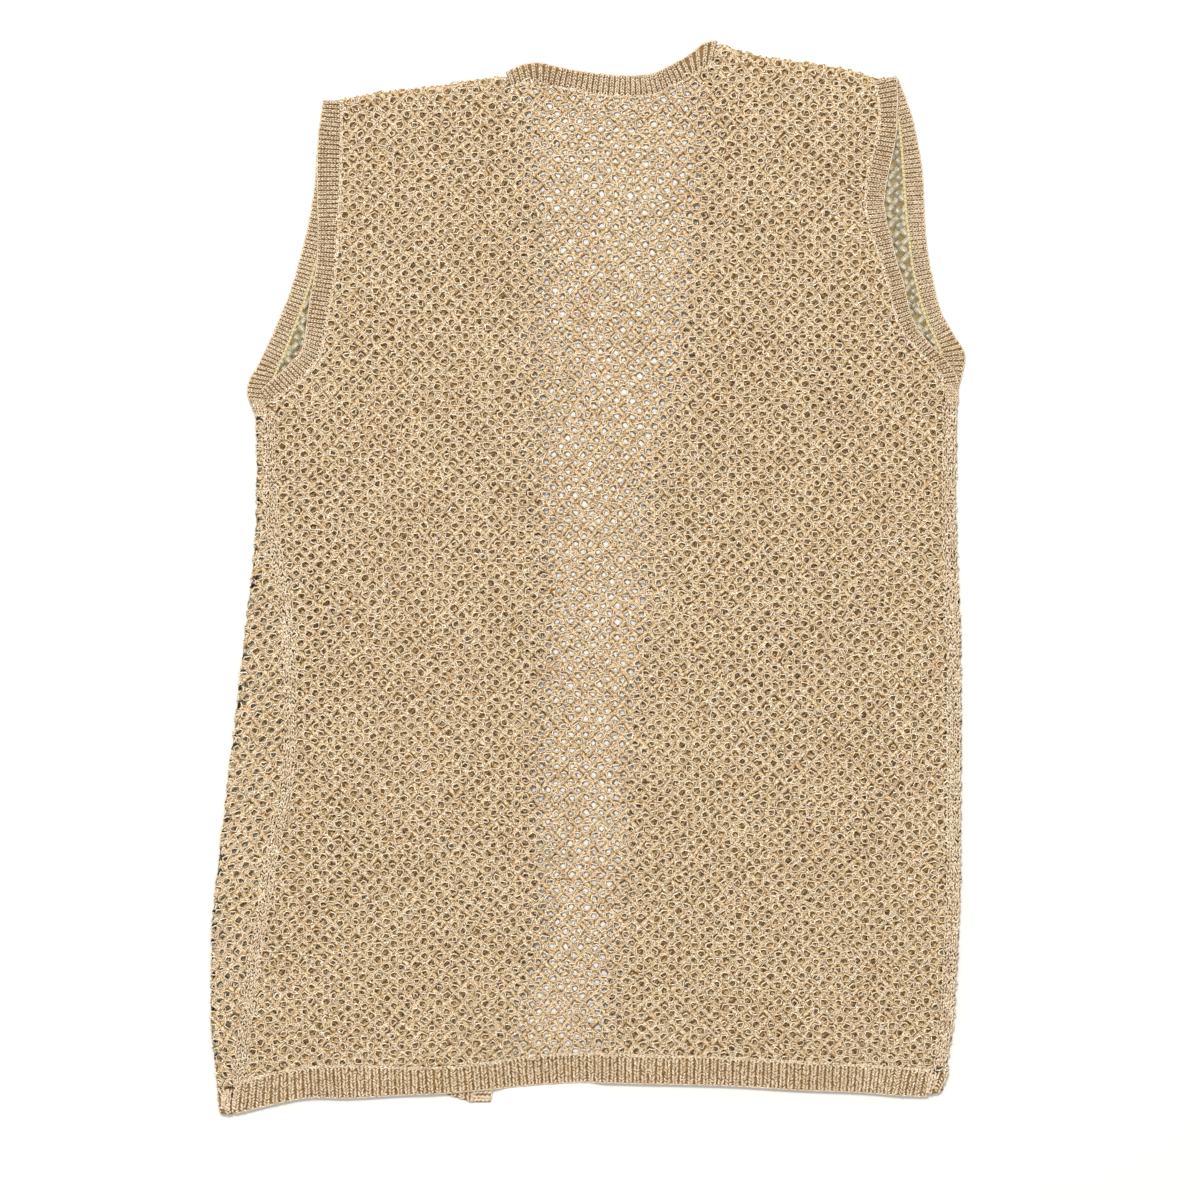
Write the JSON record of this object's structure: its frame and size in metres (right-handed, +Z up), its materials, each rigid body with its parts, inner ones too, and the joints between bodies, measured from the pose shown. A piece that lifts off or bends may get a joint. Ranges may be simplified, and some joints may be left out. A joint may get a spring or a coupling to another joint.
{
  "type": "sleeveless knitted cardigan laid flat",
  "caption": "Hip-length sleeveless openwork knit cardigan laid flat with its back up, with rib bands at neck, fronts, armholes and hem.",
  "frame": {"origin": "centre of the bounding box in X and Y, on the table that the garment lies on", "axes": "+Z up from the table, out of the garment's back; +Y from the hem to the neck; +X across, to the right seen from above"},
  "size_m": [0.4602, 0.6539, 0.0056],
  "materials": {
    "net_knit": "openwork lurex knit",
    "rib_knit": "1x1 rib lurex knit"
  },
  "bodies": {
    "root": {"back_panel": "net_knit", "front_panel_left": "net_knit", "front_panel_right": "net_knit", "hem_back": "rib_knit", "hem_front_left": "rib_knit", "hem_front_right": "rib_knit", "neckband_back": "rib_knit", "front_band_left": "rib_knit", "front_band_right": "rib_knit", "armhole_band_back_left": "rib_knit", "armhole_band_back_right": "rib_knit", "armhole_band_front_left": "rib_knit", "armhole_band_front_right": "rib_knit"}
  },
  "joints": []
}
